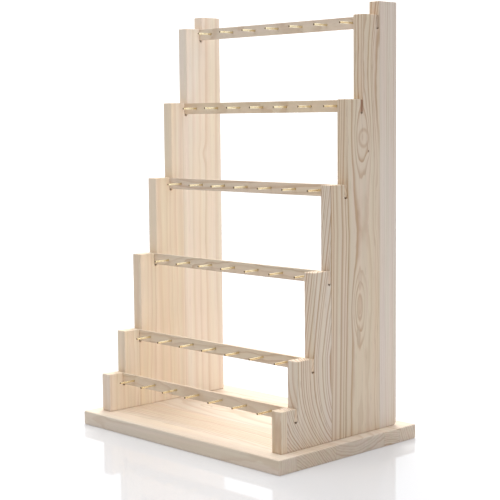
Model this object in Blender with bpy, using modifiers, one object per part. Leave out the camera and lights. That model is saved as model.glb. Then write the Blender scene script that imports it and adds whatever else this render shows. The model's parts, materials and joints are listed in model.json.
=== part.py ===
"""Stepped wooden peg rack: a base board, two staircase side panels and six lift-out rails of brass pegs.

Units are metres. +X is to the right, +Y to the back, +Z up. The origin is on the surface that the rack
stands on, under the middle of the base board.
"""

import math

import bmesh
import bpy
from mathutils import Matrix

OBJECT_NAME = "paint_rack_organizer"

# The gap that is left between two pieces that touch.
CLEARANCE = 0.0003

BASE_WIDTH = 0.300
BASE_DEPTH = 0.200
BASE_THICKNESS = 0.015
BASE_EASING = 0.0012

# The span of the side panels is from one outer face to the other.
PANEL_SPAN = 0.274
PANEL_THICKNESS = 0.013
PANEL_DEPTH = 0.168
PANEL_EASING = 0.0006

# The staircase, from the front foot up: the height of each riser, and the depth of each tread.
STEP_RISES = (0.0405, 0.045, 0.0825, 0.0825, 0.0825, 0.0825)
TOP_RISE = 0.0135
FIRST_TREAD = 0.022
STEP_PITCH = 0.0238

# Each slot is open at its tread and ends in a half round.
SLOT_WIDTH = 0.0038
SLOT_DEPTH = 0.0143
SLOT_ARC_STEPS = 8
SLOT_OVERCUT = 0.002

RAIL_LENGTH = PANEL_SPAN - 2 * CLEARANCE
RAIL_THICKNESS = SLOT_WIDTH - 2 * CLEARANCE
RAIL_HEIGHT = 0.012
RAIL_TOP_BELOW_TREAD = 0.0004
RAIL_EASING = 0.0003

PEGS_PER_RAIL = 7
PEG_PITCH = 0.035
PEG_RADIUS = 0.001
PEG_LENGTH = 0.0218
PEG_CHAMFER = 0.00015
PEG_SIDES = 12
# How far each rail's row of pegs is drilled to the right of the middle, from the lowest rail up.
PEG_ROW_SHIFTS = (0.0, 0.0, 0.0045, 0.0, 0.0, 0.0)

# Countersunk wood screws are driven up through the base board into the foot of each side panel.
SCREWS_PER_PANEL = 3
SCREW_SPACING = 0.056
SCREW_LENGTH = 0.034
SCREW_POINT_LENGTH = 0.005
SCREW_SHANK_RADIUS = 0.0017
SCREW_HEAD_RADIUS = 0.0034
SCREW_HEAD_HEIGHT = 0.0023
SCREW_RIM_HEIGHT = 0.0004
SCREW_SIDES = 16
RECESS_LENGTH = 0.0038
RECESS_WIDTH = 0.0009
RECESS_DEPTH = 0.0014

PINE_BASE = (0.80, 0.68, 0.52, 1.0)
PINE_PANEL = (0.74, 0.62, 0.47, 1.0)
PINE_RAIL = (0.68, 0.55, 0.39, 1.0)
BRASS = (0.86, 0.67, 0.35, 1.0)
ZINC = (0.62, 0.62, 0.60, 1.0)

PANEL_CENTRE = (PANEL_SPAN - PANEL_THICKNESS) / 2
PANEL_FRONT = -PANEL_DEPTH / 2
PANEL_BACK = PANEL_DEPTH / 2
PANEL_FOOT = BASE_THICKNESS + CLEARANCE


def riser_faces():
    """The Y of each riser's face, from the front foot to the short upstand above the last tread."""
    second_face = PANEL_FRONT + FIRST_TREAD
    return [PANEL_FRONT] + [second_face + step * STEP_PITCH for step in range(len(STEP_RISES))]


def tread_heights():
    """The Z of each tread, from the lowest up."""
    return [BASE_THICKNESS + sum(STEP_RISES[: step + 1]) for step in range(len(STEP_RISES))]


def slot_centre(row):
    """The Y of the middle of a row's slot. Its back wall is flush with the riser behind it."""
    return riser_faces()[row + 1] - SLOT_WIDTH / 2


def peg_offset(place):
    """The X of a peg from the middle of its row."""
    return (place - (PEGS_PER_RAIL - 1) / 2) * PEG_PITCH


def clear_scene():
    for thing in list(bpy.data.objects):
        bpy.data.objects.remove(thing)


def new_collection(name):
    collection = bpy.data.collections.new(name)
    bpy.context.scene.collection.children.link(collection)
    return collection


def new_material(name, colour, roughness, metallic):
    material = bpy.data.materials.new(name)
    material.use_nodes = True
    shader = material.node_tree.nodes["Principled BSDF"]
    shader.inputs["Base Color"].default_value = colour
    shader.inputs["Roughness"].default_value = roughness
    shader.inputs["Metallic"].default_value = metallic
    material.diffuse_color = colour
    return material


def add_object(name, data, collection, location=(0.0, 0.0, 0.0)):
    thing = bpy.data.objects.new(name, data)
    thing.location = location
    collection.objects.link(thing)
    return thing


def add_part(name, mesh, location, parent=None):
    part = add_object(name, mesh, bpy.data.collections[OBJECT_NAME], location)
    part.parent = parent
    return part


def add_cutter(name, mesh, location, collection):
    cutter = add_object(name, mesh, collection, location)
    cutter.hide_render = True
    cutter.display_type = "WIRE"
    return cutter


def evaluated_mesh(thing):
    """A new mesh with the object's modifiers applied. The object itself is removed."""
    graph = bpy.context.evaluated_depsgraph_get()
    mesh = bpy.data.meshes.new_from_object(thing.evaluated_get(graph))
    mesh.name = thing.name
    bpy.data.objects.remove(thing)
    return mesh


def box_mesh(name, size):
    """A box with its centre at the origin."""
    bm = bmesh.new()
    bmesh.ops.create_cube(bm, size=1.0, matrix=Matrix.Diagonal((*size, 1.0)))
    mesh = bpy.data.meshes.new(name)
    bm.to_mesh(mesh)
    bm.free()
    return mesh


def plate_mesh(name, outline, thickness):
    """A closed outline of (x, y) points as a plate, with its mid plane at Z = 0."""
    curve = bpy.data.curves.new(name, "CURVE")
    curve.dimensions = "2D"
    curve.fill_mode = "BOTH"
    curve.extrude = thickness / 2
    spline = curve.splines.new("POLY")
    spline.points.add(len(outline) - 1)
    for point, (x, y) in zip(spline.points, outline):
        point.co = (x, y, 0.0, 1.0)
    spline.use_cyclic_u = True
    plate = add_object(name, curve, bpy.context.scene.collection)
    mesh = evaluated_mesh(plate)
    bm = bmesh.new()
    bm.from_mesh(mesh)
    bmesh.ops.remove_doubles(bm, verts=bm.verts, dist=CLEARANCE / 10)
    bm.to_mesh(mesh)
    bm.free()
    return mesh


def stand_across_x(mesh):
    """Turns a plate so that its outline's x and y become Y and Z."""
    mesh.transform(Matrix(((0, 0, 1, 0), (1, 0, 0, 0), (0, 1, 0, 0), (0, 0, 0, 1))))
    return mesh


def turned_mesh(name, profile, sides):
    """A closed shape turned about Z. The (radius, z) profile runs down its outer side, top to bottom."""
    line = bpy.data.meshes.new(name)
    edges = [(index, index + 1) for index in range(len(profile) - 1)]
    line.from_pydata([(radius, 0.0, z) for radius, z in profile], edges, [])
    turned = add_object(name, line, bpy.context.scene.collection)
    screw = turned.modifiers.new("Turn", "SCREW")
    screw.steps = sides
    screw.render_steps = sides
    screw.use_merge_vertices = True
    screw.merge_threshold = CLEARANCE / 30
    mesh = evaluated_mesh(turned)
    mesh.shade_smooth()
    mesh.set_sharp_from_angle(angle=math.radians(35))
    return mesh


def bevel(part, width, segments=1):
    modifier = part.modifiers.new("Eased edges", "BEVEL")
    modifier.width = width
    modifier.segments = segments
    modifier.limit_method = "ANGLE"


def cut(part, cutters):
    modifier = part.modifiers.new(cutters.name, "BOOLEAN")
    modifier.operation = "DIFFERENCE"
    modifier.solver = "EXACT"
    modifier.operand_type = "COLLECTION"
    modifier.collection = cutters


def make_base_board(screw_holes, pine):
    mesh = box_mesh("base_board", (BASE_WIDTH, BASE_DEPTH, BASE_THICKNESS))
    mesh.materials.append(pine)
    board = add_part("base_board", mesh, (0.0, 0.0, BASE_THICKNESS / 2))
    bevel(board, BASE_EASING, segments=2)
    cut(board, screw_holes)


def staircase_outline():
    """The side panel in (y, z): along its foot to the front, and then up the steps to the back."""
    faces = riser_faces()
    heights = tread_heights()
    outline = [(PANEL_BACK, PANEL_FOOT), (PANEL_FRONT, PANEL_FOOT)]
    for step, height in enumerate(heights):
        outline.append((faces[step], height))
        outline.append((faces[step + 1], height))
    top = heights[-1] + TOP_RISE
    outline.append((faces[-1], top))
    outline.append((PANEL_BACK, top))
    return outline


def slot_outline():
    """A slot in (y, z), about the middle of its open end."""
    radius = SLOT_WIDTH / 2
    outline = [(-radius, SLOT_OVERCUT)]
    for step in range(SLOT_ARC_STEPS + 1):
        angle = math.pi * (1 + step / SLOT_ARC_STEPS)
        outline.append((radius * math.cos(angle), radius - SLOT_DEPTH + radius * math.sin(angle)))
    outline.append((radius, SLOT_OVERCUT))
    return outline


def make_slot_cutters():
    slots = new_collection("slot_cutters")
    mesh = stand_across_x(plate_mesh("slot_cutter", slot_outline(), PANEL_SPAN + 2 * SLOT_OVERCUT))
    for row, height in enumerate(tread_heights()):
        add_cutter(f"slot_cutter_{row + 1}", mesh, (0.0, slot_centre(row), height), slots)
    return slots


def make_side_panels(slots, screw_holes, pine):
    mesh = stand_across_x(plate_mesh("side_panel", staircase_outline(), PANEL_THICKNESS))
    mesh.materials.append(pine)
    for side, x in (("left", -PANEL_CENTRE), ("right", PANEL_CENTRE)):
        panel = add_part(f"{side}_side_panel", mesh, (x, 0.0, 0.0))
        bevel(panel, PANEL_EASING)
        cut(panel, slots)
        cut(panel, screw_holes)


def peg_drill_mesh():
    """One round cutter for each peg of a rail, through the rail from front to back."""
    bm = bmesh.new()
    radius = PEG_RADIUS + CLEARANCE
    for place in range(PEGS_PER_RAIL):
        bmesh.ops.create_cone(
            bm,
            cap_ends=True,
            segments=PEG_SIDES,
            radius1=radius,
            radius2=radius,
            depth=2 * RAIL_THICKNESS,
            matrix=Matrix.Translation((peg_offset(place), 0.0, 0.0)) @ Matrix.Rotation(math.pi / 2, 4, "X"),
        )
    mesh = bpy.data.meshes.new("peg_drill")
    bm.to_mesh(mesh)
    bm.free()
    return mesh


def make_peg_mesh(brass):
    """A straight round peg with a light chamfer at both ends. It points to the front from its back end."""
    rim = PEG_RADIUS - PEG_CHAMFER
    profile = [
        (0.0, PEG_LENGTH),
        (rim, PEG_LENGTH),
        (PEG_RADIUS, PEG_LENGTH - PEG_CHAMFER),
        (PEG_RADIUS, PEG_CHAMFER),
        (rim, 0.0),
        (0.0, 0.0),
    ]
    mesh = turned_mesh("peg", profile, PEG_SIDES)
    mesh.transform(Matrix.Rotation(math.pi / 2, 4, "X"))
    mesh.materials.append(brass)
    return mesh


def make_rails(pine, brass):
    """Six rails with their pegs. Each row hangs on an empty at the middle of its rail, which lifts it."""
    rail_mesh = box_mesh("rail", (RAIL_LENGTH, RAIL_THICKNESS, RAIL_HEIGHT))
    rail_mesh.materials.append(pine)
    drill_mesh = peg_drill_mesh()
    peg_mesh = make_peg_mesh(brass)
    peg_back = RAIL_THICKNESS / 2 - CLEARANCE
    for row, height in enumerate(tread_heights()):
        number = row + 1
        shift = PEG_ROW_SHIFTS[row]
        middle = height - RAIL_TOP_BELOW_TREAD - RAIL_HEIGHT / 2
        lift = add_part(f"row_{number}_lift", None, (0.0, slot_centre(row), middle))
        rail = add_part(f"rail_{number}", rail_mesh, (0.0, 0.0, 0.0), lift)
        bevel(rail, RAIL_EASING)
        drills = new_collection(f"peg_drills_{number}")
        add_cutter(f"peg_drill_{number}", drill_mesh, (shift, slot_centre(row), middle), drills)
        cut(rail, drills)
        for place in range(PEGS_PER_RAIL):
            spot = (shift + peg_offset(place), peg_back, 0.0)
            add_part(f"peg_{number}_{place + 1}", peg_mesh, spot, lift)


def screw_places():
    """The (side, number, x, y) of each screw."""
    places = []
    for side, x in (("left", -PANEL_CENTRE), ("right", PANEL_CENTRE)):
        for index in range(SCREWS_PER_PANEL):
            y = (index - (SCREWS_PER_PANEL - 1) / 2) * SCREW_SPACING
            places.append((side, index + 1, x, y))
    return places


def screw_profile(margin, bottom):
    """A screw with its head down, from its point to its head, grown all round by a margin."""
    shank = SCREW_SHANK_RADIUS + margin
    head = SCREW_HEAD_RADIUS + margin
    return [
        (0.0, SCREW_LENGTH + margin),
        (shank, SCREW_LENGTH + margin - SCREW_POINT_LENGTH),
        (shank, CLEARANCE + SCREW_HEAD_HEIGHT),
        (head, CLEARANCE + SCREW_RIM_HEIGHT),
        (head, bottom),
        (0.0, bottom),
    ]


def make_screw_holes():
    holes = new_collection("screw_hole_cutters")
    mesh = turned_mesh("screw_hole_cutter", screw_profile(CLEARANCE, -SCREW_HEAD_HEIGHT), SCREW_SIDES)
    for side, number, x, y in screw_places():
        add_cutter(f"screw_hole_{side}_{number}", mesh, (x, y, 0.0), holes)
    return holes


def cross_outline():
    """A plus sign: the two corners at the end of each arm, and the inner corner after it."""
    half_length = RECESS_LENGTH / 2
    half_width = RECESS_WIDTH / 2
    arm = [(half_length, -half_width), (half_length, half_width), (half_width, half_width)]
    outline = []
    for quarter in range(4):
        cosine = round(math.cos(quarter * math.pi / 2))
        sine = round(math.sin(quarter * math.pi / 2))
        outline += [(x * cosine - y * sine, x * sine + y * cosine) for x, y in arm]
    return outline


def make_screws(zinc):
    mesh = turned_mesh("screw", screw_profile(0.0, CLEARANCE), SCREW_SIDES)
    mesh.materials.append(zinc)
    recess_mesh = plate_mesh("cross_recess", cross_outline(), 2 * RECESS_DEPTH)
    recesses = new_collection("cross_recess_cutters")
    for side, number, x, y in screw_places():
        add_cutter(f"cross_recess_{side}_{number}", recess_mesh, (x, y, CLEARANCE), recesses)
        screw = add_part(f"screw_{side}_{number}", mesh, (x, y, 0.0))
        cut(screw, recesses)


def main():
    clear_scene()
    new_collection(OBJECT_NAME)
    pine_rail = new_material("pine_rail", PINE_RAIL, 0.55, 0.0)
    brass = new_material("brass", BRASS, 0.25, 1.0)
    slots = make_slot_cutters()
    screw_holes = make_screw_holes()
    make_base_board(screw_holes, new_material("pine_base", PINE_BASE, 0.5, 0.0))
    make_side_panels(slots, screw_holes, new_material("pine_panel", PINE_PANEL, 0.55, 0.0))
    make_rails(pine_rail, brass)
    make_screws(new_material("zinc", ZINC, 0.35, 1.0))


if __name__ == "__main__":
    main()
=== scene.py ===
"""Finishes a stepped pine peg rack with brass pegs, and sets it on a white studio floor.

Units are metres. +X is to the right, +Y to the back, +Z up, as in the frame.
"""

import collections
import json
import math
import random

import bmesh
import bpy
from mathutils import Matrix, Vector

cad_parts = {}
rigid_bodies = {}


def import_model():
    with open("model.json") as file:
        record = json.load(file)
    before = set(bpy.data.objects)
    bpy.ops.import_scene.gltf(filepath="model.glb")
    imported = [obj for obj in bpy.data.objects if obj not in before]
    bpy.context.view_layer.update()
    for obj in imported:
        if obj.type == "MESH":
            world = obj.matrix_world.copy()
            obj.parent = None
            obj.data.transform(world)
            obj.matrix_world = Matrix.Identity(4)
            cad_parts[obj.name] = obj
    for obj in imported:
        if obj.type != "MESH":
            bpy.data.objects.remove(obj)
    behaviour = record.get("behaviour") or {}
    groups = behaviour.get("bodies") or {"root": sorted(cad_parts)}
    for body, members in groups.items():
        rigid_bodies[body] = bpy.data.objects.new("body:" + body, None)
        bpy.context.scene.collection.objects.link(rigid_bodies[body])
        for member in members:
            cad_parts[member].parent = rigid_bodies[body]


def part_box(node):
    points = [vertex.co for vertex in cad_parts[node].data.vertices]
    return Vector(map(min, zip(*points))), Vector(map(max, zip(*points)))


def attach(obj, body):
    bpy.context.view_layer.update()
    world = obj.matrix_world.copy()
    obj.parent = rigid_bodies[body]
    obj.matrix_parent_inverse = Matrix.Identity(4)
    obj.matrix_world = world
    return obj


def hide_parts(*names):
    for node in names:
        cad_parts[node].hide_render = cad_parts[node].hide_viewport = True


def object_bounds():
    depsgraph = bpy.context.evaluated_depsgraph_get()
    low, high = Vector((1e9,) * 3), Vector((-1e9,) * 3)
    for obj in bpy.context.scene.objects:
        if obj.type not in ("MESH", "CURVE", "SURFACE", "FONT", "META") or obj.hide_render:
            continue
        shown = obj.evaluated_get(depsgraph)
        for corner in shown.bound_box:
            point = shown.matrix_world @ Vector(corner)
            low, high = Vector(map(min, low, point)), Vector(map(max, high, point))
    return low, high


bl_info = {
    "name": "Pine Peg Rack",
    "version": (1, 0, 0),
    "blender": (4, 5, 0),
    "location": "View3D > Sidebar > Peg Rack",
    "description": "Grain, brass and a white studio for a stepped pine peg rack",
    "category": "Object",
}

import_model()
CAD_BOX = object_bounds()

MM = 0.001
ROWS = range(1, 7)
PLACES = range(1, 8)
SIDES = ("left", "right")
FRAME_BODY = "rack_frame"

# A board's axes as (along the grain, across the staves, through the thickness), each an index into XYZ.
UPRIGHT_GRAIN = (2, 1, 0)
LEVEL_GRAIN = (0, 1, 2)
RAIL_GRAIN = (0, 2, 1)

# One glued-up stave. edge is the joint at its lower side across the board. The heart of its tree lay at
# heart_across and heart_deep at the height bend_at, and moves deeper by bend_up and bend_down from there.
# Below bend_at the rings also sweep across, ever faster.
Stave = collections.namedtuple(
    "Stave", "edge heart_across heart_deep bend_at bend_up bend_down sweep ring figure tone warmth"
)

# A knot or the eye that one leaves in the grain. reach and length are the half sizes of the figure around it,
# and pull is how far it pushes the rings apart. eye is the radius of its round middle, which is tall times as
# high as it is wide. rim and fill are how brown the middle's edge and the middle itself are. If both are 0,
# the middle is only a calm patch in which the rings fade.
Knot = collections.namedtuple("Knot", "across along reach length pull eye tall rim fill")

RIGHT_STAVES = (
    Stave(-90 * MM, -150 * MM, 131 * MM, 0.20, 0.02, 0.02, 0.0, 2.6 * MM, 0.60, 1.07, 0.80),
    Stave(-76 * MM, 14 * MM, 173 * MM, 0.10, 0.16, 0.0, 44.0, 3.1 * MM, 0.95, 1.03, 0.35),
    Stave(-14 * MM, 30 * MM, 97 * MM, 0.22, -0.03, -0.02, 0.0, 3.3 * MM, 1.00, 0.975, 0.64),
    Stave(58 * MM, 150 * MM, 125 * MM, 0.20, 0.02, 0.03, 0.0, 2.9 * MM, 0.40, 1.03, 0.15),
)
RIGHT_KNOTS = (
    Knot(34 * MM, 310 * MM, 11 * MM, 27 * MM, 7.5 * MM, 7.2 * MM, 1.2, 0.42, 0.0),
    Knot(41 * MM, 297 * MM, 3 * MM, 6 * MM, 1.0 * MM, 0.9 * MM, 1.5, 0.0, 0.80),
    Knot(52 * MM, 372 * MM, 10 * MM, 62 * MM, -5.5 * MM, 0.0, 1.0, 0.0, 0.0),
    Knot(28 * MM, 143 * MM, 9 * MM, 27 * MM, 8.0 * MM, 3.6 * MM, 3.4, 0.50, 0.0),
    Knot(26 * MM, 114 * MM, 9 * MM, 27 * MM, 0.0, 2.6 * MM, 4.0, 0.34, 0.22),
    Knot(28 * MM, 172 * MM, 9 * MM, 27 * MM, 0.0, 2.4 * MM, 4.5, 0.25, 0.12),
    Knot(60 * MM, 165 * MM, 9 * MM, 27 * MM, 0.0, 32 * MM, 5.5, 0.0, 0.0),
    Knot(35 * MM, 45 * MM, 9 * MM, 27 * MM, 0.0, 15 * MM, 3.6, 0.0, 0.0),
)
LEFT_STAVES = (
    Stave(-90 * MM, -190 * MM, -175 * MM, 0.15, 0.05, 0.04, 0.0, 6.5 * MM, 0.21, 1.06, 0.55),
    Stave(-42 * MM, -170 * MM, -150 * MM, 0.20, 0.02, 0.02, 0.0, 7.5 * MM, 0.26, 1.06, 0.70),
    Stave(26 * MM, 190 * MM, -158 * MM, 0.20, 0.03, 0.04, 0.0, 12.0 * MM, 0.32, 1.115, 0.35),
)
LEFT_KNOTS = (
    Knot(57 * MM, 291 * MM, 7 * MM, 9 * MM, 4.5 * MM, 0.0, 1.0, 0.0, 0.0),
)
BASE_STAVES = (
    Stave(-110 * MM, -180 * MM, 10 * MM, 0.0, 0.02, 0.02, 0.0, 2.8 * MM, 0.26, 1.00, 0.35),
    Stave(-77 * MM, -112 * MM, -48 * MM, 0.0, 0.05, 0.06, 0.0, 2.6 * MM, 0.60, 0.97, 0.40),
    Stave(-22 * MM, 12 * MM, 70 * MM, 0.05, 0.06, 0.05, 0.0, 4.2 * MM, 0.45, 0.96, 0.25),
    Stave(50 * MM, 60 * MM, -70 * MM, 0.0, 0.04, 0.04, 0.0, 2.4 * MM, 0.65, 0.98, 0.40),
    Stave(74 * MM, 170 * MM, 30 * MM, 0.0, 0.02, 0.02, 0.0, 3.0 * MM, 0.45, 1.0, 0.30),
)
BASE_KNOTS = (
    Knot(8 * MM, -62 * MM, 7 * MM, 26 * MM, 4.0 * MM, 1.2 * MM, 1.5, 0.0, 0.55),
)

# Painted light and shade on the sawn ends of each row's rail, which sit in the panels' slots: the four lowest
# rows' ends are brightened with painted light, and the two highest are darkened with painted shade as if sunk
# in their slots. Then how warm each rail's wood is. Both run from the lowest row up.
PAINTED_LIGHT_END = (1.25, 1.22, 1.20)
RAIL_END_LIGHT_AND_SHADE = (PAINTED_LIGHT_END, PAINTED_LIGHT_END, PAINTED_LIGHT_END, (1.1, 1.05, 1.0), (0.52, 0.36, 0.31), (0.76, 0.70, 0.66))
RAIL_WARMTHS = (0.65, 0.70, 0.60, 0.55, 0.80, 0.45)
RAIL_SEED = 70

# How many features of each kind the pine has to a metre: across the grain, through the board and along it.
DRIFT = (14.0, 14.0, 3.2)
RIPPLE = (80.0, 60.0, 24.0)
STREAKS = (260.0, 260.0, 5.0)
CLOUDS = (38.0, 38.0, 4.5)
BLUSH = (130.0, 130.0, 6.0)
FLECKS = (1100.0, 1100.0, 70.0)
FIBRES_ACROSS = 1500.0
FIBRES_ALONG = 26.0

# Each stave's features start from a place of their own: the stave's edge times one of these.
RING_SEED = 431.0
STREAK_SEED = 91.0

# How far the rings stray from true circles, slowly and quickly, and from an even spacing, in years.
# SPACING_CHANGES is how many times a year the spacing changes.
DRIFT_SIZE = 6.0 * MM
RIPPLE_SIZE = 1.7 * MM
UNEVEN_YEARS = 1.1
SPACING_CHANGES = 0.45

# The shares of a year in which its line of late wood darkens and ends, and how late it darkens most. Then how
# strong the faintest ring is beside the strongest, and how much of the rings shows in a knot's eye.
LATE_WOOD_RISE = (0.30, 0.86)
LATE_WOOD_END = (0.90, 1.0)
LATE_WOOD_SHARPNESS = 1.8
WEAKEST_RING = 0.45
RINGS_LEFT_IN_EYE = 0.35

# The edge of a knot's eye, and the inner and outer edge of the rim about it, as shares of the eye's radius.
EYE_EDGE = (0.75, 1.05)
RIM_INSIDE = (0.55, 0.95)
RIM_OUTSIDE = (0.98, 1.30)

# What each feature does to the wood's tone, where 1 is no change. Darker wood is browner too.
FIBRE_TONES = (0.93, 1.07)
STREAK_TONES = (0.91, 1.09)
GLUE_TONE = 0.72
FLECK_TONE = 0.80
EDGE_TONE = 0.94
GREEN_POWER = 1.12
BLUE_POWER = 1.25
CLOUD_WARMTH = 0.55

# The noise values between which a streak turns from sappy to rosy and a fleck shows, and how squarely a face
# has to cross the grain to be a sawn end. SOFT_EDGE_TURN is how much a softened edge turns the normal.
BLUSH_RISE = (0.32, 0.68)
FLECK_RISE = (0.74, 0.82)
SAWN_END_TURN = (0.55, 0.9)
SOFT_EDGE_TURN = (0.80, 0.995)

# Roughness, gloss and relief of planed pine. The three reliefs are shares of PINE_RELIEF.
PINE_ROUGHNESS = (0.50, 0.66)
END_ROUGHNESS = 0.14
LATE_WOOD_POLISH = 0.07
PINE_SPECULAR = 0.35
PINE_RELIEF = 0.12 * MM
PINE_RELIEF_STRENGTH = 0.35
FIBRE_RELIEF = 0.6
RING_RELIEF = 0.7
FLECK_RELIEF = 0.25
GLUE_LINE = 0.22 * MM
SOFT_EDGE_RADIUS = 0.9 * MM

# How many features the metals have to a metre, on X, on Y (along a peg) and on Z.
DRAWING_LINES = (5200.0, 90.0, 5200.0)
TARNISH_CLOUDS = (310.0, 190.0, 310.0)
SAW_MARKS = (600.0, 0.0, 9000.0)
SPANGLES = 1400.0

# The shares of the brass's red, green and blue that tarnish leaves, and the noise values between which it
# discolours the brass and dulls it.
TARNISHED = (0.80, 0.70, 0.55)
TARNISH_RISE = (0.45, 0.80)
DULLING_RISE = (0.5, 0.8)
TARNISH_ROUGHNESS = 0.14
BRASS_ROUGHNESS = (0.20, 0.30)
DRAWING_RELIEF = 0.01 * MM
DRAWING_STRENGTH = 0.25

# How bright the ridges between the saw's marks are, and the zinc's dark and bright spangles. 1 is plain metal.
SAW_RIDGE = 1.7
SAW_RIDGE_RISE = (0.3, 0.7)
SAWN_ROUGHNESS = (0.40, 0.60)
SAW_RELIEF = 0.02 * MM
SAW_STRENGTH = 0.5
SPANGLE_SHADES = (0.85, 1.1)
ZINC_ROUGHNESS = (0.28, 0.46)

# CAD_GAP is what the CAD bodies keep between them. In these meshes the fits are as close as real ones.
CAD_GAP = 0.3 * MM
SLOT_PLAY = 0.08 * MM
PEG_PLAY = 0.12 * MM
PANEL_SEAT = 0.25 * MM

TREAD_ABOVE_RAIL = 0.4 * MM
SLOT_DEPTH = 14.3 * MM
SLOT_ARC_STEPS = 14
LEFT_HEEL_RADIUS = 1.0 * MM
RIGHT_HEEL_RADIUS = 4.5 * MM
HEEL_STEPS = 8
ROUNDING_STEPS = 3
ROUNDED_ANGLE = math.radians(40)
BASE_ROUNDING = 1.4 * MM
PANEL_ROUNDING = 0.7 * MM
RAIL_ROUNDING = 0.3 * MM
PEG_RIM_STEPS = 4
PEG_DISH_SHARE = 0.45
PEG_DISH_DEPTH = 0.03 * MM
TURNED_SIDES = 32

# Faces that meet at more than these angles are shaded with a sharp edge between them.
BOARD_SHARP_ANGLE = math.radians(45)
PEG_SHARP_ANGLE = math.radians(50)
SCREW_SHARP_ANGLE = math.radians(40)

SCREW_NUMBERS = (1, 2, 3)
SCREW_RADIUS = 1.7 * MM
SCREW_HEAD_RADIUS = 3.4 * MM
SCREW_HEAD_HEIGHT = 2.3 * MM
SCREW_RIM_HEIGHT = 0.4 * MM
SCREW_POINT_LENGTH = 5 * MM
SCREW_TIP_SHARE = 0.06
SCREW_HOLE_OVERSHOOT = 2 * MM
THREAD_PITCH = 1.6 * MM
THREAD_DEPTH = 0.45 * MM
THREAD_SHARPNESS = 3.2
THREAD_RUN_OUT = 6 * MM
THREAD_STEPS = 8
THREAD_SIDES = 24
RECESS_LENGTH = 3.8 * MM
RECESS_WIDTH = 0.9 * MM
RECESS_DEPTH = 1.4 * MM
RECESS_TAPER = 0.6

FLOOR_SIDES = 96
FLOOR_GAP = 0.05 * MM
FLOOR_WAVES = 3.0
FLOOR_ROUGHNESS = (0.03, 0.06)
FLOOR_SPECULAR = 0.30
CAMERA_REACH = 50.0

# How high (0 level, 1 straight up) and how far back (-1 to 1) a direction points where the light changes, and
# the shares of the walls' light in front and at the back.
DOME_RISE = (0.10, 0.95)
WALL_SPAN = (-0.9, 0.9)
FRONT_WALL_SHARE = 0.5
BACK_WALL_SHARE = 1.5

# A softbox points at the middle of the rack from its place. size is the length of its side.
Softbox = collections.namedtuple("Softbox", "name place size colour")
WARM_LIGHT = (1.0, 0.985, 0.96)
TOP_SOFTBOX = Softbox("top_softbox", (-0.1, 0.0, 2.0), 0.9, WARM_LIGHT)
KEY_SOFTBOX = Softbox("key_softbox", (-0.85, 0.95, 1.35), 0.7, WARM_LIGHT)
SIDE_SOFTBOX = Softbox("side_softbox", (0.33, 0.20, 0.03), 0.10, (1.0, 0.99, 1.0))
INNER_SOFTBOX = Softbox("inner_fill", (1.2, 0.1, 0.35), 0.8, (0.97, 0.99, 1.0))


class RackWoodSettings(bpy.types.PropertyGroup):
    early_wood: bpy.props.FloatVectorProperty(
        name="Early wood", description="Pale wood of the spring growth", subtype="COLOR",
        size=3, min=0.0, max=1.0, default=(0.81, 0.72, 0.62),
    )
    late_wood: bpy.props.FloatVectorProperty(
        name="Late wood", description="Brown line that closes each year's ring", subtype="COLOR",
        size=3, min=0.0, max=1.0, default=(0.50, 0.32, 0.185),
    )
    warm_tint: bpy.props.FloatVectorProperty(
        name="Warm tint", description="What the warmest staves are tinted with", subtype="COLOR",
        size=3, min=0.0, max=1.0, default=(1.0, 0.93, 0.80),
    )
    grey_tint: bpy.props.FloatVectorProperty(
        name="Grey tint", description="What the palest staves are tinted with", subtype="COLOR",
        size=3, min=0.0, max=1.0, default=(0.96, 0.96, 0.99),
    )
    pink_tint: bpy.props.FloatVectorProperty(
        name="Pink tint", description="What the rosy streaks are tinted with", subtype="COLOR",
        size=3, min=0.0, max=1.0, default=(1.0, 0.965, 0.955),
    )
    green_tint: bpy.props.FloatVectorProperty(
        name="Green tint", description="What the sappy streaks are tinted with", subtype="COLOR",
        size=3, min=0.0, max=1.0, default=(0.985, 0.985, 0.95),
    )
    knot_brown: bpy.props.FloatVectorProperty(
        name="Knot brown", description="Middle of a knot", subtype="COLOR",
        size=3, min=0.0, max=1.0, default=(0.23, 0.12, 0.06),
    )
    end_grain: bpy.props.FloatProperty(
        name="End grain", description="How much darker sawn ends are than planed faces", subtype="FACTOR",
        min=0.0, max=1.0, default=0.90,
    )


class RackMetalSettings(bpy.types.PropertyGroup):
    brass: bpy.props.FloatVectorProperty(
        name="Brass", description="Bright drawn brass of the pegs", subtype="COLOR",
        size=3, min=0.0, max=1.0, default=(0.93, 0.83, 0.56),
    )
    # The pegs' sawn ends are coloured almost black: a painted dark reflection.
    sawn_brass: bpy.props.FloatVectorProperty(
        name="Painted reflection brass", description="Dull brass of the pegs' sawn ends", subtype="COLOR",
        size=3, min=0.0, max=1.0, default=(0.10, 0.07, 0.04),
    )
    zinc: bpy.props.FloatVectorProperty(
        name="Zinc", description="Plating of the screws", subtype="COLOR",
        size=3, min=0.0, max=1.0, default=(0.62, 0.62, 0.60),
    )
    peg_rounding: bpy.props.FloatProperty(
        name="Peg rounding", description="Radius of the rounded rim of a peg", subtype="DISTANCE",
        unit="LENGTH", min=0.0, max=0.0009, default=0.14 * MM,
    )


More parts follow.
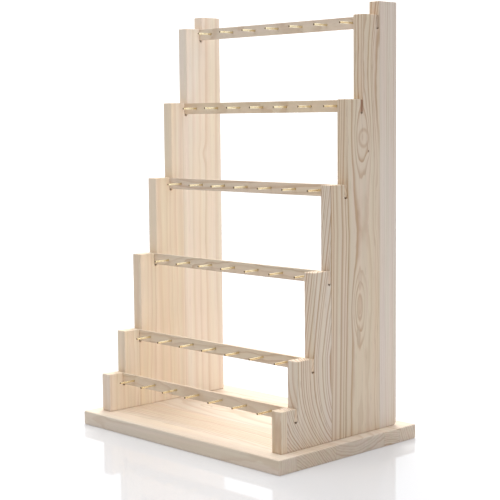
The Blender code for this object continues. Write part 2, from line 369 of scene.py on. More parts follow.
class RackStudioSettings(bpy.types.PropertyGroup):
    floor_radius: bpy.props.FloatProperty(
        name="Floor radius", description="How far the white floor runs", subtype="DISTANCE",
        unit="LENGTH", min=1.0, default=9.0,
    )
    floor_white: bpy.props.FloatVectorProperty(
        name="Floor white", description="Glossy white floor", subtype="COLOR",
        size=3, min=0.0, max=1.0, default=(0.50, 0.50, 0.51),
    )
    floor_glow: bpy.props.FloatProperty(
        name="Floor glow", description="Light that comes up through the floor", min=0.0, default=0.41,
    )
    room_white: bpy.props.FloatVectorProperty(
        name="Room white", description="Tint of the room's light", subtype="COLOR",
        size=3, min=0.0, max=1.0, default=(0.965, 0.98, 1.0),
    )
    wall_white: bpy.props.FloatProperty(
        name="Wall white", description="How white the walls look, also in reflections", min=0.0, default=1.30,
    )
    room_light: bpy.props.FloatProperty(
        name="Room light", description="Light of the walls of the room", min=0.0, default=0.13,
    )
    dome_light: bpy.props.FloatProperty(
        name="Dome light", description="Light of the ceiling of the room", min=0.0, default=1.12,
    )
    top_light: bpy.props.FloatProperty(
        name="Top light", description="Power of the softbox overhead, in watts", min=0.0, default=15.0,
    )
    key_light: bpy.props.FloatProperty(
        name="Key light", description="Power of the softbox high at the back left, in watts",
        min=0.0, default=24.0,
    )
    inner_light: bpy.props.FloatProperty(
        name="Inner light", description="Power of the fill light on the left panel's inner face, in watts",
        min=0.0, default=3.5,
    )
    side_light: bpy.props.FloatProperty(
        name="Side light", description="Power of the small low softbox beside the right panel, in watts",
        min=0.0, default=0.05,
    )
    camera_place: bpy.props.FloatVectorProperty(
        name="Camera place", description="Where the camera stands", subtype="TRANSLATION",
        unit="LENGTH", size=3, default=(0.9761, -0.9305, 0.3308),
    )
    camera_turn: bpy.props.FloatVectorProperty(
        name="Camera turn", description="Tilt from straight down, roll, and turn about up", subtype="EULER",
        unit="ROTATION", size=3,
        default=(math.radians(84.17), math.radians(-0.57), math.radians(46.08)),
    )
    lens: bpy.props.FloatProperty(
        name="Lens", description="Focal length on a 36 mm sensor", subtype="DISTANCE_CAMERA",
        min=20.0, default=93.18,
    )


class Nodes:
    """Adds nodes to one shader tree. An input takes either a value or another node's output."""

    def __init__(self, tree):
        self.tree = tree

    def feed(self, socket, value):
        if isinstance(value, bpy.types.NodeSocket):
            self.tree.links.new(value, socket)
        else:
            socket.default_value = value

    def add(self, kind, inputs=None, **settings):
        node = self.tree.nodes.new("ShaderNode" + kind)
        for name, value in settings.items():
            setattr(node, name, value)
        for name, value in (inputs or {}).items():
            self.feed(node.inputs[name], value)
        return node

    def math(self, operation, *values):
        return self.add("Math", dict(enumerate(values)), operation=operation).outputs[0]

    def plus(self, first, second):
        return self.math("ADD", first, second)

    def minus(self, first, second):
        return self.math("SUBTRACT", first, second)

    def times(self, first, second):
        return self.math("MULTIPLY", first, second)

    def step(self, value, edge):
        return self.math("GREATER_THAN", value, edge)

    def ease(self, value, low, high, start=0.0, end=1.0):
        """start below low, end above high, and a smooth change between."""
        inputs = {"Value": value, "From Min": low, "From Max": high, "To Min": start, "To Max": end}
        return self.add("MapRange", inputs, interpolation_type="SMOOTHSTEP").outputs["Result"]

    def span(self, value, start, end):
        """Maps 0 to start and 1 to end, evenly and without a limit."""
        inputs = {"Value": value, "To Min": start, "To Max": end}
        return self.add("MapRange", inputs, clamp=False).outputs["Result"]

    def length_squared(self, x, y, width, height):
        """The square of how far out (x, y) lies, where 1 is on the ellipse of this width and height."""
        x = self.math("DIVIDE", x, width)
        y = self.math("DIVIDE", y, height)
        return self.math("MULTIPLY_ADD", x, x, self.times(y, y))

    def spread(self, point, counts, seed=None):
        """The point in a space where a noise has this many features to a metre on each axis."""
        x, y, z = (self.times(part, count) for part, count in zip(point, counts))
        if seed is not None:
            x = self.plus(x, seed)
        return self.add("CombineXYZ", {"X": x, "Y": y, "Z": z}).outputs[0]

    def object_point(self):
        """The X, Y and Z of a point on the object."""
        place = self.add("TexCoord").outputs["Object"]
        return self.add("SeparateXYZ", {0: place}).outputs

    def noise(self, place, detail=2.0, roughness=0.5):
        """A value about 0.5, of features one unit across."""
        inputs = {"Vector": place, "Scale": 1.0, "Detail": detail, "Roughness": roughness}
        return self.add("TexNoise", inputs).outputs["Fac"]

    def chance(self, number):
        """A steady random value from 0 to 1 for each whole number."""
        return self.add("TexWhiteNoise", {"W": number}, noise_dimensions="1D").outputs["Value"]

    def blend(self, share, first, second, kind="MIX"):
        node = self.add("Mix", {0: share, 6: first, 7: second}, data_type="RGBA", blend_type=kind)
        return node.outputs[2]


def rgba(colour):
    return (*colour, 1.0)


def new_material(name):
    """(the material, its empty tree's Nodes, its Principled shader)"""
    material = bpy.data.materials.new(name)
    material.use_nodes = True
    shader = material.node_tree.nodes["Principled BSDF"]
    return material, Nodes(material.node_tree), shader


def by_stave(nodes, across, staves, field):
    """The field's value in the stave that a point lies in."""
    value = getattr(staves[0], field)
    for before, stave in zip(staves, staves[1:]):
        change = getattr(stave, field) - getattr(before, field)
        if change:
            share = nodes.step(across, stave.edge)
            value = nodes.math("MULTIPLY_ADD", share, change, value)
    return value


def glue_lines(nodes, across, staves):
    """1 on the joints between the staves, 0 elsewhere."""
    line = 0.0
    for stave in staves[1:]:
        gap = nodes.math("ABSOLUTE", nodes.minus(across, stave.edge))
        line = nodes.math("MAXIMUM", line, nodes.ease(gap, 0.0, GLUE_LINE, 1.0, 0.0))
    return line


def knot_marks(nodes, across, along, knots):
    """(how far the knots push the rings apart, their rims, how brown their eyes are, 1 inside the eyes)"""
    pull = 0.0
    rims = 0.0
    brown = 0.0
    inside = 0.0
    for knot in knots:
        side = nodes.minus(across, knot.across)
        rise = nodes.minus(along, knot.along)
        square = nodes.length_squared(side, rise, knot.reach, knot.length)
        swell = nodes.math("EXPONENT", nodes.times(square, -1.0))
        pull = nodes.math("MULTIPLY_ADD", swell, knot.pull, pull)
        if knot.eye:
            square = nodes.length_squared(side, rise, knot.eye, knot.eye * knot.tall)
            radius = nodes.math("SQRT", square)
            middle = nodes.ease(radius, *EYE_EDGE, 1.0, 0.0)
            rim = nodes.times(nodes.ease(radius, *RIM_INSIDE), nodes.ease(radius, *RIM_OUTSIDE, 1.0, 0.0))
            rims = nodes.math("MAXIMUM", rims, nodes.times(rim, knot.rim))
            brown = nodes.math("MAXIMUM", brown, nodes.times(middle, knot.fill))
            inside = nodes.math("MAXIMUM", inside, middle)
    return pull, rims, brown, inside


def ring_radius(nodes, point, staves, seed):
    """How far a point lies from its tree's heart, which leans, with rings that stray a little."""
    across, deep, along = point
    drift = nodes.noise(nodes.spread(point, DRIFT, seed))
    ripple = nodes.noise(nodes.spread(point, RIPPLE, seed))
    wander = nodes.plus(
        nodes.span(drift, -DRIFT_SIZE, DRIFT_SIZE), nodes.span(ripple, -RIPPLE_SIZE, RIPPLE_SIZE)
    )

    climb = nodes.minus(along, by_stave(nodes, across, staves, "bend_at"))
    drop = nodes.math("MINIMUM", climb, 0.0)
    upward = nodes.times(nodes.math("MAXIMUM", climb, 0.0), by_stave(nodes, across, staves, "bend_up"))
    downward = nodes.times(drop, by_stave(nodes, across, staves, "bend_down"))
    depth = nodes.math("ABSOLUTE", nodes.minus(deep, by_stave(nodes, across, staves, "heart_deep")))
    depth = nodes.plus(depth, nodes.minus(upward, downward))
    depth = nodes.plus(depth, wander)

    side = nodes.minus(across, by_stave(nodes, across, staves, "heart_across"))
    side = nodes.plus(side, wander)
    if any(stave.sweep for stave in staves):
        cube = nodes.times(nodes.times(drop, drop), drop)
        side = nodes.math("MULTIPLY_ADD", cube, by_stave(nodes, across, staves, "sweep"), side)
    return nodes.math("SQRT", nodes.plus(nodes.times(side, side), nodes.times(depth, depth)))


def growth_rings(nodes, point, staves, knots):
    """(late wood from 0 to 1, this ring's strength from 0 to 1, the rims of knots, how brown knots are)"""
    across, _, along = point
    seed = nodes.times(by_stave(nodes, across, staves, "edge"), RING_SEED)
    radius = ring_radius(nodes, point, staves, seed)
    pull, rims, brown, inside = knot_marks(nodes, across, along, knots)
    years = nodes.math("DIVIDE", nodes.minus(radius, pull), by_stave(nodes, across, staves, "ring"))
    uneven_place = nodes.add("CombineXYZ", {"X": nodes.times(years, SPACING_CHANGES), "Y": seed}).outputs[0]
    uneven = nodes.noise(uneven_place, detail=1.0)
    years = nodes.plus(years, nodes.span(uneven, -UNEVEN_YEARS, UNEVEN_YEARS))

    season = nodes.math("FRACT", years)
    strength = nodes.chance(nodes.plus(nodes.math("FLOOR", years), seed))
    rise = nodes.ease(season, *LATE_WOOD_RISE)
    fall = nodes.ease(season, *LATE_WOOD_END, 1.0, 0.0)
    late = nodes.times(nodes.math("POWER", rise, LATE_WOOD_SHARPNESS), fall)
    late = nodes.times(late, nodes.span(inside, 1.0, RINGS_LEFT_IN_EYE))
    return late, strength, rims, brown


def tinted(nodes, colour, point, staves, seed):
    """The wood's colour made warm or grey by its stave and by faint clouds, with rosy and sappy streaks."""
    wood = bpy.context.scene.rack_wood
    clouds = nodes.noise(nodes.spread(point, CLOUDS, seed))
    warmth = nodes.plus(
        by_stave(nodes, point[0], staves, "warmth"), nodes.span(clouds, -CLOUD_WARMTH, CLOUD_WARMTH)
    )
    warmth = nodes.math("MINIMUM", nodes.math("MAXIMUM", warmth, 0.0), 1.0)
    tint = nodes.blend(warmth, rgba(wood.grey_tint), rgba(wood.warm_tint))
    colour = nodes.blend(1.0, colour, tint, "MULTIPLY")
    blush = nodes.ease(nodes.noise(nodes.spread(point, BLUSH, seed)), *BLUSH_RISE)
    tint = nodes.blend(blush, rgba(wood.green_tint), rgba(wood.pink_tint))
    return nodes.blend(1.0, colour, tint, "MULTIPLY")


def darker_edges(nodes, softened):
    """1 along the edges of a board, where the softened normal leaves the true one, and 0 elsewhere. There the
    wood is drawn darker.
    """
    true_normal = nodes.add("NewGeometry").outputs["Normal"]
    alike = nodes.add("VectorMath", {0: softened, 1: true_normal}, operation="DOT_PRODUCT")
    return nodes.ease(alike.outputs["Value"], *SOFT_EDGE_TURN, 1.0, 0.0)


def pine_material(name, axes, staves, knots=(), end_light_and_shade=None):
    """Planed pine: rings about each stave's heart, glue lines, fibres, flecks, end grain and eased edges drawn
    a little darker. A rail's sawn ends also take painted light and shade.
    """
    wood = bpy.context.scene.rack_wood
    material, nodes, shader = new_material(name)
    texture_place = nodes.add("TexCoord")
    parts = nodes.add("SeparateXYZ", {0: texture_place.outputs["Object"]}).outputs
    facing = nodes.add("SeparateXYZ", {0: texture_place.outputs["Normal"]}).outputs
    along, across, deep = (parts[axis] for axis in axes)
    point = (across, deep, along)

    late, strength, rims, brown = growth_rings(nodes, point, staves, knots)
    seed = nodes.times(by_stave(nodes, across, staves, "edge"), STREAK_SEED)
    end = nodes.ease(nodes.math("ABSOLUTE", facing[axes[0]]), *SAWN_END_TURN)
    fibres_along = nodes.ease(end, 0.0, 1.0, FIBRES_ALONG, FIBRES_ACROSS)
    fibre_place = nodes.spread(point, (FIBRES_ACROSS, FIBRES_ACROSS, fibres_along))
    fibres = nodes.noise(fibre_place, detail=3.0, roughness=0.65)
    streaks = nodes.noise(nodes.spread(point, STREAKS, seed), detail=3.0, roughness=0.6)
    flecks = nodes.ease(nodes.noise(nodes.spread(point, FLECKS), detail=0.0), *FLECK_RISE)

    contrast = nodes.times(
        nodes.span(strength, WEAKEST_RING, 1.0), by_stave(nodes, across, staves, "figure")
    )
    share = nodes.math("MAXIMUM", nodes.times(late, contrast), rims)
    colour = nodes.blend(share, rgba(wood.early_wood), rgba(wood.late_wood))
    colour = tinted(nodes, colour, point, staves, seed)

    softened = nodes.add("Bevel", {"Radius": SOFT_EDGE_RADIUS}, samples=4).outputs[0]
    tone = nodes.times(by_stave(nodes, across, staves, "tone"), nodes.span(fibres, *FIBRE_TONES))
    tone = nodes.times(tone, nodes.span(streaks, *STREAK_TONES))
    tone = nodes.times(tone, nodes.span(glue_lines(nodes, across, staves), 1.0, GLUE_TONE))
    tone = nodes.times(tone, nodes.span(nodes.times(flecks, contrast), 1.0, FLECK_TONE))
    tone = nodes.times(tone, nodes.span(end, 1.0, wood.end_grain))
    tone = nodes.times(tone, nodes.span(darker_edges(nodes, softened), 1.0, EDGE_TONE))
    green = nodes.math("POWER", tone, GREEN_POWER)
    blue = nodes.math("POWER", tone, BLUE_POWER)
    shade = nodes.add("CombineColor", {"Red": tone, "Green": green, "Blue": blue}).outputs[0]
    colour = nodes.blend(1.0, colour, shade, "MULTIPLY")
    # Painted light and shade on a rail's sawn ends, which sit in the panels' slots.
    if end_light_and_shade:
        colour = nodes.blend(end, colour, rgba(end_light_and_shade), "MULTIPLY")
    colour = nodes.blend(brown, colour, rgba(wood.knot_brown))
    nodes.feed(shader.inputs["Base Color"], colour)

    roughness = nodes.plus(nodes.span(fibres, *PINE_ROUGHNESS), nodes.times(end, END_ROUGHNESS))
    roughness = nodes.minus(roughness, nodes.times(late, LATE_WOOD_POLISH))
    nodes.feed(shader.inputs["Roughness"], roughness)
    shader.inputs["Specular IOR Level"].default_value = PINE_SPECULAR

    rings = nodes.times(nodes.times(late, contrast), RING_RELIEF)
    height = nodes.plus(nodes.times(fibres, FIBRE_RELIEF), rings)
    height = nodes.minus(height, nodes.times(flecks, FLECK_RELIEF))
    relief = {"Strength": PINE_RELIEF_STRENGTH, "Distance": PINE_RELIEF, "Height": height, "Normal": softened}
    nodes.feed(shader.inputs["Normal"], nodes.add("Bump", relief).outputs[0])
    return material


def finish_metal(nodes, shader, colour, roughness):
    nodes.feed(shader.inputs["Base Color"], colour)
    nodes.feed(shader.inputs["Roughness"], roughness)
    shader.inputs["Metallic"].default_value = 1.0


def brass_material():
    """Bright drawn brass, with faint drawing lines along the peg and a little tarnish."""
    material, nodes, shader = new_material("drawn_brass")
    point = nodes.object_point()
    lines = nodes.noise(nodes.spread(point, DRAWING_LINES))
    tarnish = nodes.noise(nodes.spread(point, TARNISH_CLOUDS), detail=3.0)
    brass = bpy.context.scene.rack_metal.brass
    aged = [value * share for value, share in zip(brass, TARNISHED)]
    colour = nodes.blend(nodes.ease(tarnish, *TARNISH_RISE), rgba(brass), rgba(aged))
    dulled = nodes.ease(tarnish, *DULLING_RISE, 0.0, TARNISH_ROUGHNESS)
    finish_metal(nodes, shader, colour, nodes.plus(nodes.span(lines, *BRASS_ROUGHNESS), dulled))
    bump = nodes.add("Bump", {"Strength": DRAWING_STRENGTH, "Distance": DRAWING_RELIEF, "Height": lines})
    nodes.feed(shader.inputs["Normal"], bump.outputs[0])
    return material


def painted_reflection_brass_material():
    """The sawn end of a peg, with the saw's marks across it, coloured almost black as a painted dark
    reflection.
    """
    material, nodes, shader = new_material("sawn_brass")
    marks = nodes.noise(nodes.spread(nodes.object_point(), SAW_MARKS))
    # The painted dark reflection, with brighter ridges between the saw's marks.
    sawn = Vector(bpy.context.scene.rack_metal.sawn_brass)
    colour = nodes.blend(nodes.ease(marks, *SAW_RIDGE_RISE), rgba(sawn), rgba(sawn * SAW_RIDGE))
    finish_metal(nodes, shader, colour, nodes.span(marks, *SAWN_ROUGHNESS))
    bump = nodes.add("Bump", {"Strength": SAW_STRENGTH, "Distance": SAW_RELIEF, "Height": marks})
    nodes.feed(shader.inputs["Normal"], bump.outputs[0])
    return material


def zinc_material():
    """Zinc plating with its cloudy spangle."""
    material, nodes, shader = new_material("zinc_plate")
    place = nodes.add("TexCoord").outputs["Object"]
    cells = nodes.add("TexVoronoi", {"Vector": place, "Scale": SPANGLES}).outputs["Color"]
    spangle = nodes.add("SeparateColor", {0: cells}).outputs[0]
    zinc = Vector(bpy.context.scene.rack_metal.zinc)
    dark, bright = (rgba(zinc * shade) for shade in SPANGLE_SHADES)
    colour = nodes.blend(spangle, dark, bright)
    finish_metal(nodes, shader, colour, nodes.span(spangle, *ZINC_ROUGHNESS))
    return material


def rail_stave(row):
    """A rail is one strip of pine, each from another part of a tree."""
    chance = random.Random(RAIL_SEED + row)
    low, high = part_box(f"rail_{row}")
    middle = (low + high) / 2
    return Stave(
        edge=low.z - 1.0,
        heart_across=middle.z + chance.uniform(-30, 30) * MM,
        heart_deep=middle.y + chance.uniform(18, 60) * MM,
        bend_at=chance.uniform(-0.1, 0.1),
        bend_up=chance.uniform(0.02, 0.07),
        bend_down=chance.uniform(0.02, 0.07),
        sweep=0.0,
        ring=chance.uniform(2.2, 3.4) * MM,
        figure=chance.uniform(0.35, 0.55),
        tone=chance.uniform(0.95, 1.0),
        warmth=RAIL_WARMTHS[row - 1],
    )


def mesh_from(bm, name):
    bmesh.ops.recalc_face_normals(bm, faces=bm.faces)
    mesh = bpy.data.meshes.new(name)
    bm.to_mesh(mesh)
    bm.free()
    return mesh


def add_object(name, data):
    """A new object of a mesh, a light's data or a camera's data, in the scene."""
    thing = bpy.data.objects.new(name, data)
    bpy.context.scene.collection.objects.link(thing)
    return thing


def settled_mesh(thing):
    """A new mesh with the object's modifiers applied. The object itself is removed."""
    graph = bpy.context.evaluated_depsgraph_get()
    mesh = bpy.data.meshes.new_from_object(thing.evaluated_get(graph))
    mesh.name = thing.name
    bpy.data.objects.remove(thing)
    return mesh


def eased_and_drilled(mesh, rounding, cutters):
    """The mesh with rounded edges and the cutters taken out of it. Its flat faces are shaded flat."""
    thing = add_object(mesh.name, mesh)
    bevel = thing.modifiers.new("Rounded edges", "BEVEL")
    bevel.width = rounding
    bevel.segments = ROUNDING_STEPS
    bevel.limit_method = "ANGLE"
    bevel.angle_limit = ROUNDED_ANGLE
    holes = bpy.data.collections.new("cutters")
    bpy.context.scene.collection.children.link(holes)
    for cutter in cutters:
        holes.objects.link(bpy.data.objects.new("cutter", cutter))
    drill = thing.modifiers.new("Holes", "BOOLEAN")
    drill.operand_type = "COLLECTION"
    drill.collection = holes
    drill.solver = "EXACT"
    drilled = settled_mesh(thing)
    for cutter in list(holes.objects):
        bpy.data.objects.remove(cutter)
    bpy.data.collections.remove(holes)
    drilled.shade_smooth()
    drilled.set_sharp_from_angle(angle=BOARD_SHARP_ANGLE)
    thing = add_object(mesh.name, drilled)
    normals = thing.modifiers.new("Flat faces", "WEIGHTED_NORMAL")
    normals.keep_sharp = True
    return settled_mesh(thing)


def box_mesh(name, low, high):
    bm = bmesh.new()
    place = Matrix.Translation((low + high) / 2) @ Matrix.Diagonal((*(high - low), 1.0))
    bmesh.ops.create_cube(bm, size=1.0, matrix=place)
    return mesh_from(bm, name)


def circle(bm, radius, height, sides=TURNED_SIDES):
    """A ring of new vertices about Z."""
    points = []
    for side in range(sides):
        angle = 2 * math.pi * side / sides
        points.append(bm.verts.new((radius * math.cos(angle), radius * math.sin(angle), height)))
    return points


def skin(bm, rings):
    """Faces between each ring of vertices and the next, with both ends closed."""
    for first, second in zip(rings, rings[1:]):
        for index in range(len(first)):
            after = (index + 1) % len(first)
            bm.faces.new((first[index], first[after], second[after], second[index]))
    bm.faces.new(rings[0])
    bm.faces.new(rings[-1])


def turned_mesh(name, profile, place):
    """A solid turned about Z from a (radius, height) profile, then moved to its place."""
    bm = bmesh.new()
    skin(bm, [circle(bm, radius, height) for radius, height in profile])
    bm.transform(place)
    return mesh_from(bm, name)


def tread_heights():
    """The Z of each tread: the rails' tops lie just below them."""
    return [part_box(f"rail_{row}")[1].z + TREAD_ABOVE_RAIL for row in ROWS]


def staircase_outline(low, high, heel_radius):
    """A side panel in (y, z), with a rounded heel. Each slot's back wall runs on up as a riser."""
    outline = []
    for step in range(HEEL_STEPS + 1):
        angle = math.pi / 2 * step / HEEL_STEPS
        y = high.y - heel_radius * (1 - math.cos(angle))
        outline.append((y, low.z + heel_radius * (1 - math.sin(angle))))
    outline.append((low.y, low.z))
    face = low.y
    for row, tread in zip(ROWS, tread_heights()):
        rail_low, rail_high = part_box(f"rail_{row}")
        front_wall = rail_low.y - SLOT_PLAY
        back_wall = rail_high.y + CAD_GAP
        radius = (back_wall - front_wall) / 2
        arc_middle = tread - SLOT_DEPTH + radius
        outline += [(face, tread), (front_wall, tread)]
        for step in range(SLOT_ARC_STEPS + 1):
            angle = math.pi * (1 + step / SLOT_ARC_STEPS)
            y = front_wall + radius + radius * math.cos(angle)
            outline.append((y, arc_middle + radius * math.sin(angle)))
        face = back_wall
    outline += [(face, high.z), (high.y, high.z)]
    return outline


def screw_spots():
    """The name of each screw, the middle of its head's face, and its length."""
    spots = []
    for side in SIDES:
        for number in SCREW_NUMBERS:
            name = f"screw_{side}_{number}"
            low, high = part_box(name)
            spot = Vector(((low.x + high.x) / 2, (low.y + high.y) / 2, low.z))
            spots.append((name, spot, high.z - low.z))
    return spots


def screw_hole_cutters():
    cutters = []
    for _, spot, length in screw_spots():
        profile = [
            (SCREW_HEAD_RADIUS + CAD_GAP, -SCREW_HOLE_OVERSHOOT),
            (SCREW_HEAD_RADIUS + CAD_GAP, SCREW_RIM_HEIGHT),
            (SCREW_RADIUS + CAD_GAP, SCREW_HEAD_HEIGHT),
            (SCREW_RADIUS + CAD_GAP, length - SCREW_POINT_LENGTH),
            (CAD_GAP, length + CAD_GAP),
        ]
        cutters.append(turned_mesh("cutter", profile, Matrix.Translation(spot)))
    return cutters


def make_base_board():
    low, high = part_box("base_board")
    mesh = box_mesh("base_board_pine", low, high)
    mesh = eased_and_drilled(mesh, BASE_ROUNDING, screw_hole_cutters())
    mesh.materials.append(pine_material("base_pine", LEVEL_GRAIN, BASE_STAVES, BASE_KNOTS))
    add_piece("base_board_pine", mesh, FRAME_BODY, "base_board")


def make_side_panel(side, heel_radius, staves, knots):
    name = f"{side}_side_panel"
    low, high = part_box(name)
    low.z -= PANEL_SEAT
    bm = bmesh.new()
    outline = staircase_outline(low, high, heel_radius)
    left_face = bm.faces.new([bm.verts.new((low.x, y, z)) for y, z in outline])
    swept = bmesh.ops.extrude_face_region(bm, geom=[left_face])["geom"]
    moved = [part for part in swept if isinstance(part, bmesh.types.BMVert)]
    bmesh.ops.translate(bm, verts=moved, vec=(high.x - low.x, 0.0, 0.0))
    mesh = eased_and_drilled(mesh_from(bm, f"{name}_pine"), PANEL_ROUNDING, screw_hole_cutters())
    mesh.materials.append(pine_material(f"{side}_panel_pine", UPRIGHT_GRAIN, staves, knots))
    add_piece(f"{name}_pine", mesh, FRAME_BODY, name)


def make_rail(row):
    low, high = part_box(f"rail_{row}")
    cutters = []
    for place in PLACES:
        peg_low, peg_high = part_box(f"peg_{row}_{place}")
        radius = (peg_high.x - peg_low.x) / 2 + PEG_PLAY
        spot = ((peg_low.x + peg_high.x) / 2, (low.y + high.y) / 2, (peg_low.z + peg_high.z) / 2)
        reach = high.y - low.y
        turn = Matrix.Translation(spot) @ Matrix.Rotation(math.pi / 2, 4, "X")
        cutters.append(turned_mesh("cutter", [(radius, -reach), (radius, reach)], turn))
    mesh = eased_and_drilled(box_mesh(f"rail_{row}_pine", low, high), RAIL_ROUNDING, cutters)
    staves = (rail_stave(row),)
    end_light_and_shade = RAIL_END_LIGHT_AND_SHADE[row - 1]
    mesh.materials.append(pine_material(f"rail_{row}_pine", RAIL_GRAIN, staves, end_light_and_shade=end_light_and_shade))
    add_piece(f"rail_{row}_pine", mesh, f"row_{row}", f"rail_{row}")


def peg_profile(radius, length, rounding):
    """From the dished front end, round its rim, along the peg and over the chamfer at its back."""
    profile = [(radius * PEG_DISH_SHARE, PEG_DISH_DEPTH)]
    for step in range(PEG_RIM_STEPS + 1):
        angle = step / PEG_RIM_STEPS * math.pi / 2
        inset = rounding * (1 - math.sin(angle))
        profile.append((radius - inset, rounding * (1 - math.cos(angle))))
    profile += [(radius, length * share) for share in (0.25, 0.5, 0.75)]
    profile += [(radius, length - rounding / 2), (radius - rounding / 2, length)]
    return profile


def make_peg(row, place, materials):
    """A peg in its CAD node's box. Its front end is sawn and dished, and its faces that look to the front
    carry a painted dark reflection.
    """
    node = f"peg_{row}_{place}"
    low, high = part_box(node)
    rounding = bpy.context.scene.rack_metal.peg_rounding
    profile = peg_profile((high.x - low.x) / 2, high.y - low.y, rounding)
    front = Vector(((low.x + high.x) / 2, low.y, (low.z + high.z) / 2))
    turn = Matrix.Translation(front) @ Matrix.Rotation(-math.pi / 2, 4, "X")
    mesh = turned_mesh(f"brass_{node}", profile, turn)
    for material in materials:
        mesh.materials.append(material)
    mesh.shade_smooth()
    mesh.set_sharp_from_angle(angle=PEG_SHARP_ANGLE)
    for polygon in mesh.polygons:
        # Faces that look to the front take the material with the painted dark reflection.
        polygon.material_index = int(polygon.normal.y < -0.5)
    add_piece(f"brass_{node}", mesh, f"row_{row}", node)


def thread_rings(bm, length):
    """The screw's threaded shank as rings of vertices, whose radius rises and falls along a helix."""
    rings = []
    count = round((length - SCREW_HEAD_HEIGHT) / THREAD_PITCH * THREAD_STEPS)
    for index in range(count + 1):
        height = SCREW_HEAD_HEIGHT + (length - SCREW_HEAD_HEIGHT) * index / count
        taper = min(1.0, (length - height) / SCREW_POINT_LENGTH + SCREW_TIP_SHARE)
        threaded = height > SCREW_HEAD_HEIGHT + THREAD_RUN_OUT
        ring = []
        for side in range(THREAD_SIDES):
            angle = 2 * math.pi * side / THREAD_SIDES
            phase = (height / THREAD_PITCH - side / THREAD_SIDES) % 1.0
            crest = max(0.0, 1.0 - abs(phase - 0.5) * THREAD_SHARPNESS)
            depth = (1.0 - crest) * THREAD_DEPTH if threaded else THREAD_DEPTH / 2
            radius = (SCREW_RADIUS - depth) * taper
            ring.append(bm.verts.new((radius * math.cos(angle), radius * math.sin(angle), height)))
        rings.append(ring)
    return rings


def cross_cutter(spot):
    """The cross that a driver fits, narrower at its bottom."""
    bm = bmesh.new()
    for turn in (0.0, math.pi / 2):
        size = Matrix.Diagonal((RECESS_LENGTH, RECESS_WIDTH, 2 * RECESS_DEPTH, 1.0))
        arm = bmesh.ops.create_cube(bm, size=1.0, matrix=Matrix.Rotation(turn, 4, "Z") @ size)["verts"]
        for point in arm:
            if point.co.z > 0:
                point.co.x *= RECESS_TAPER
                point.co.y *= RECESS_TAPER
    bm.transform(Matrix.Translation(spot))
    return mesh_from(bm, "cutter")


def make_screw(name, spot, length, zinc):
    """A countersunk wood screw, point up, with a cross recess in its head."""
    bm = bmesh.new()
    head = [
        circle(bm, SCREW_HEAD_RADIUS - SCREW_RIM_HEIGHT / 2, 0.0, THREAD_SIDES),
        circle(bm, SCREW_HEAD_RADIUS, SCREW_RIM_HEIGHT / 2, THREAD_SIDES),
        circle(bm, SCREW_HEAD_RADIUS, SCREW_RIM_HEIGHT, THREAD_SIDES),
    ]
    skin(bm, head + thread_rings(bm, length))
    bm.transform(Matrix.Translation(spot))
    screw = add_object(name, mesh_from(bm, name))
    arms = add_object("cutter", cross_cutter(spot))
    recess = screw.modifiers.new("Cross recess", "BOOLEAN")
    recess.object = arms
    recess.solver = "EXACT"
    recess.use_self = True
    mesh = settled_mesh(screw)
    bpy.data.objects.remove(arms)
    mesh.materials.append(zinc)
    mesh.shade_smooth()
    mesh.set_sharp_from_angle(angle=SCREW_SHARP_ANGLE)
    add_piece(f"zinc_{name}", mesh, FRAME_BODY, name)


def add_piece(name, mesh, body, node):
    """Puts a new piece on a body, in place of a CAD node."""
    piece = add_object(name, mesh)
    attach(piece, body)
    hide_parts(node)


class RACK_OT_base_board(bpy.types.Operator):
    """Make the base board of edge-glued pine, with its grain from left to right"""

    bl_idname = "rack.base_board"
    bl_label = "Make Base Board"

    def execute(self, context):
        make_base_board()
        return {"FINISHED"}


class RACK_OT_side_panels(bpy.types.Operator):
    """Make the two staircase side panels of edge-glued pine, with upright grain"""

    bl_idname = "rack.side_panels"
    bl_label = "Make Side Panels"

    def execute(self, context):
        make_side_panel("left", LEFT_HEEL_RADIUS, LEFT_STAVES, LEFT_KNOTS)
        make_side_panel("right", RIGHT_HEEL_RADIUS, RIGHT_STAVES, RIGHT_KNOTS)
        return {"FINISHED"}


class RACK_OT_rails(bpy.types.Operator):
    """Make the six rails, each from a strip of pine of its own"""

    bl_idname = "rack.rails"
    bl_label = "Make Rails"

    def execute(self, context):
        for row in ROWS:
            make_rail(row)
        return {"FINISHED"}


class RACK_OT_pegs(bpy.types.Operator):
    """Turn the brass pegs, with a rounded rim and a sawn end that carries a painted dark reflection"""

    bl_idname = "rack.pegs"
    bl_label = "Turn Pegs"

    def execute(self, context):
        materials = (brass_material(), painted_reflection_brass_material())
        for row in ROWS:
            for place in PLACES:
                make_peg(row, place, materials)
        return {"FINISHED"}


class RACK_OT_screws(bpy.types.Operator):
    """Make the zinc plated wood screws under the base board"""

    bl_idname = "rack.screws"
    bl_label = "Make Screws"

    def execute(self, context):
        zinc = zinc_material()
        for name, spot, length in screw_spots():
            make_screw(name, spot, length, zinc)
        return {"FINISHED"}


def floor_material():
    """Glossy white acrylic with the faintest unevenness."""
    material, nodes, shader = new_material("white_acrylic")
    studio = bpy.context.scene.rack_studio
    waver = nodes.noise(nodes.spread(nodes.object_point(), (FLOOR_WAVES, FLOOR_WAVES, FLOOR_WAVES)))
    shader.inputs["Base Color"].default_value = rgba(studio.floor_white)
    nodes.feed(shader.inputs["Roughness"], nodes.span(waver, *FLOOR_ROUGHNESS))
    shader.inputs["Specular IOR Level"].default_value = FLOOR_SPECULAR
    shader.inputs["Emission Color"].default_value = rgba(studio.floor_white)
    shader.inputs["Emission Strength"].default_value = studio.floor_glow
    return material


def make_floor():
    """A wide white disc under the rack."""
    studio = bpy.context.scene.rack_studio
    bm = bmesh.new()
    bmesh.ops.create_circle(bm, cap_ends=True, segments=FLOOR_SIDES, radius=studio.floor_radius)
    mesh = bpy.data.meshes.new("studio_floor")
    bm.to_mesh(mesh)
    bm.free()
    mesh.materials.append(floor_material())
    floor = add_object("studio_floor", mesh)
    floor.location.z = CAD_BOX[0].z - FLOOR_GAP


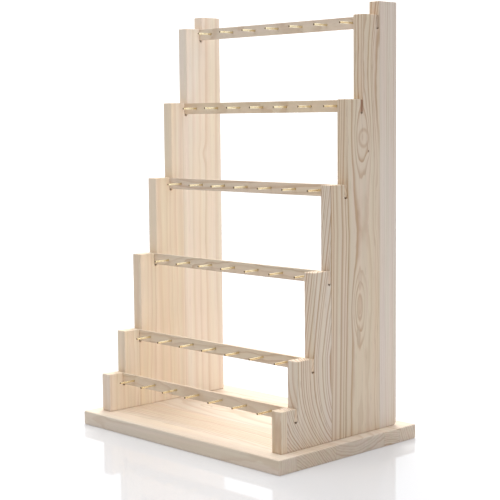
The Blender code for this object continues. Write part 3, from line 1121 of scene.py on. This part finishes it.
def make_room():
    """A white room: pure white where it is seen. Its light is strongest overhead and weakest in front."""
    scene = bpy.context.scene
    studio = scene.rack_studio
    world = bpy.data.worlds.new("white_room")
    world.use_nodes = True
    scene.world = world
    nodes = Nodes(world.node_tree)
    nodes.tree.nodes.clear()
    way = nodes.add("SeparateXYZ", {0: nodes.add("TexCoord").outputs["Generated"]}).outputs
    overhead = nodes.times(nodes.ease(way[2], *DOME_RISE), studio.dome_light)
    front = FRONT_WALL_SHARE * studio.room_light
    back = BACK_WALL_SHARE * studio.room_light
    strength = nodes.plus(overhead, nodes.ease(way[1], *WALL_SPAN, front, back))
    light = nodes.add("Background", {"Color": rgba(studio.room_white), "Strength": strength})
    seen = nodes.add("Background", {"Color": (1.0, 1.0, 1.0, 1.0), "Strength": studio.wall_white})
    path = nodes.add("LightPath").outputs
    direct = nodes.math("MAXIMUM", path["Is Camera Ray"], path["Is Glossy Ray"])
    mix = nodes.add("MixShader", {0: direct, 1: light.outputs[0], 2: seen.outputs[0]})
    nodes.add("OutputWorld", {"Surface": mix.outputs[0]})


def add_softbox(softbox, power):
    middle = (CAD_BOX[0] + CAD_BOX[1]) / 2
    data = bpy.data.lights.new(softbox.name, "AREA")
    data.shape = "SQUARE"
    data.size = softbox.size
    data.energy = power
    data.color = softbox.colour
    light = add_object(softbox.name, data)
    light.location = softbox.place
    light.rotation_euler = (middle - Vector(softbox.place)).to_track_quat("-Z", "Y").to_euler()
    light.visible_camera = False
    light.visible_glossy = False
    return light


def light_only(light, name):
    """The light falls on one piece and passes through all the others."""
    piece = bpy.data.collections.new(f"{light.name}_subject")
    piece.objects.link(bpy.data.objects[name])
    light.light_linking.receiver_collection = piece
    light.light_linking.blocker_collection = piece


def add_camera():
    studio = bpy.context.scene.rack_studio
    data = bpy.data.cameras.new("studio_camera")
    data.lens = studio.lens
    data.clip_end = CAMERA_REACH
    camera = add_object("studio_camera", data)
    tilt, roll, turn = studio.camera_turn
    camera.matrix_world = (
        Matrix.Translation(studio.camera_place)
        @ Matrix.Rotation(turn, 4, "Z")
        @ Matrix.Rotation(tilt, 4, "X")
        @ Matrix.Rotation(roll, 4, "Z")
    )
    bpy.context.scene.camera = camera


class RACK_OT_studio(bpy.types.Operator):
    """Set the rack on a white floor under soft light, with a camera at its front right"""

    bl_idname = "rack.studio"
    bl_label = "Set Up Studio"

    def execute(self, context):
        studio = context.scene.rack_studio
        context.scene.view_settings.view_transform = "Standard"
        make_floor()
        make_room()
        add_softbox(TOP_SOFTBOX, studio.top_light)
        add_softbox(KEY_SOFTBOX, studio.key_light)
        add_softbox(SIDE_SOFTBOX, studio.side_light)
        light_only(add_softbox(INNER_SOFTBOX, studio.inner_light), "left_side_panel_pine")
        add_camera()
        return {"FINISHED"}


OPERATORS = (
    RACK_OT_base_board,
    RACK_OT_side_panels,
    RACK_OT_rails,
    RACK_OT_pegs,
    RACK_OT_screws,
    RACK_OT_studio,
)
SETTINGS = {
    "rack_wood": RackWoodSettings,
    "rack_metal": RackMetalSettings,
    "rack_studio": RackStudioSettings,
}


class RACK_PT_sidebar(bpy.types.Panel):
    """The rack's settings and the operators that make its pieces"""

    bl_idname = "RACK_PT_sidebar"
    bl_label = "Peg Rack"
    bl_space_type = "VIEW_3D"
    bl_region_type = "UI"
    bl_category = "Peg Rack"

    def draw(self, context):
        layout = self.layout
        for name, kind in SETTINGS.items():
            box = layout.box()
            for field in kind.__annotations__:
                box.prop(getattr(context.scene, name), field)
        for operator in OPERATORS:
            layout.operator(operator.bl_idname)


def register():
    for kind in (*SETTINGS.values(), *OPERATORS, RACK_PT_sidebar):
        bpy.utils.register_class(kind)
    for name, kind in SETTINGS.items():
        setattr(bpy.types.Scene, name, bpy.props.PointerProperty(type=kind))


def unregister():
    for name in SETTINGS:
        delattr(bpy.types.Scene, name)
    for kind in (RACK_PT_sidebar, *reversed(OPERATORS), *SETTINGS.values()):
        bpy.utils.unregister_class(kind)


def main():
    register()
    bpy.ops.rack.base_board()
    bpy.ops.rack.side_panels()
    bpy.ops.rack.rails()
    bpy.ops.rack.pegs()
    bpy.ops.rack.screws()
    bpy.ops.rack.studio()


if __name__ == "__main__":
    main()
